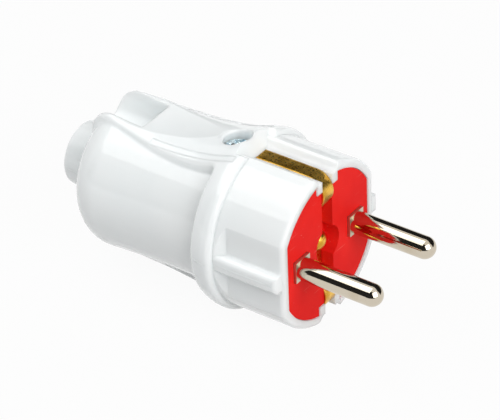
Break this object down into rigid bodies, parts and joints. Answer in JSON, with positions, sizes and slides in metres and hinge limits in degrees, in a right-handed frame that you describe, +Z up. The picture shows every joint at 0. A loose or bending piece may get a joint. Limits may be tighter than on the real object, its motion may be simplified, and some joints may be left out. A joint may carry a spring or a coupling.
{
  "type": "grounded plug",
  "caption": "Straight rewirable earthed mains plug: round pins on a red insert, earth contacts above and below, white moulded grip with thumb dishes and a short cord inlet.",
  "frame": {"origin": "centre of the front rim of the nose, midway between the pins", "axes": "+X along the plug axis towards the pin tips, +Y along the pin spacing, +Z up towards the housing screw"},
  "size_m": [0.0809, 0.0388, 0.0381],
  "materials": {
    "housing": "glossy white moulding",
    "contact_carrier": "red moulding with a low sheen",
    "pins": "polished nickel plate",
    "inner_screws": "bright zinc plate",
    "earth_strip": "rolled brass, slightly tarnished",
    "earth_rivet": "bright brass",
    "earth_tab": "rolled brass",
    "housing_screw": "blue zinc plate",
    "cord_clamp_bar": "red moulding"
  },
  "bodies": {
    "root": {"housing": "housing", "contact_carrier": "contact_carrier", "left_pin": "pins", "right_pin": "pins", "terminal_screws": "inner_screws", "earth_strip": "earth_strip", "earth_rivet": "earth_rivet", "earth_tab": "earth_tab", "earth_washer": "inner_screws", "earth_screw": "inner_screws", "housing_screw": "housing_screw", "housing_nut": "inner_screws", "cord_clamp_bar": "cord_clamp_bar", "cord_clamp_screws": "inner_screws"}
  },
  "joints": []
}
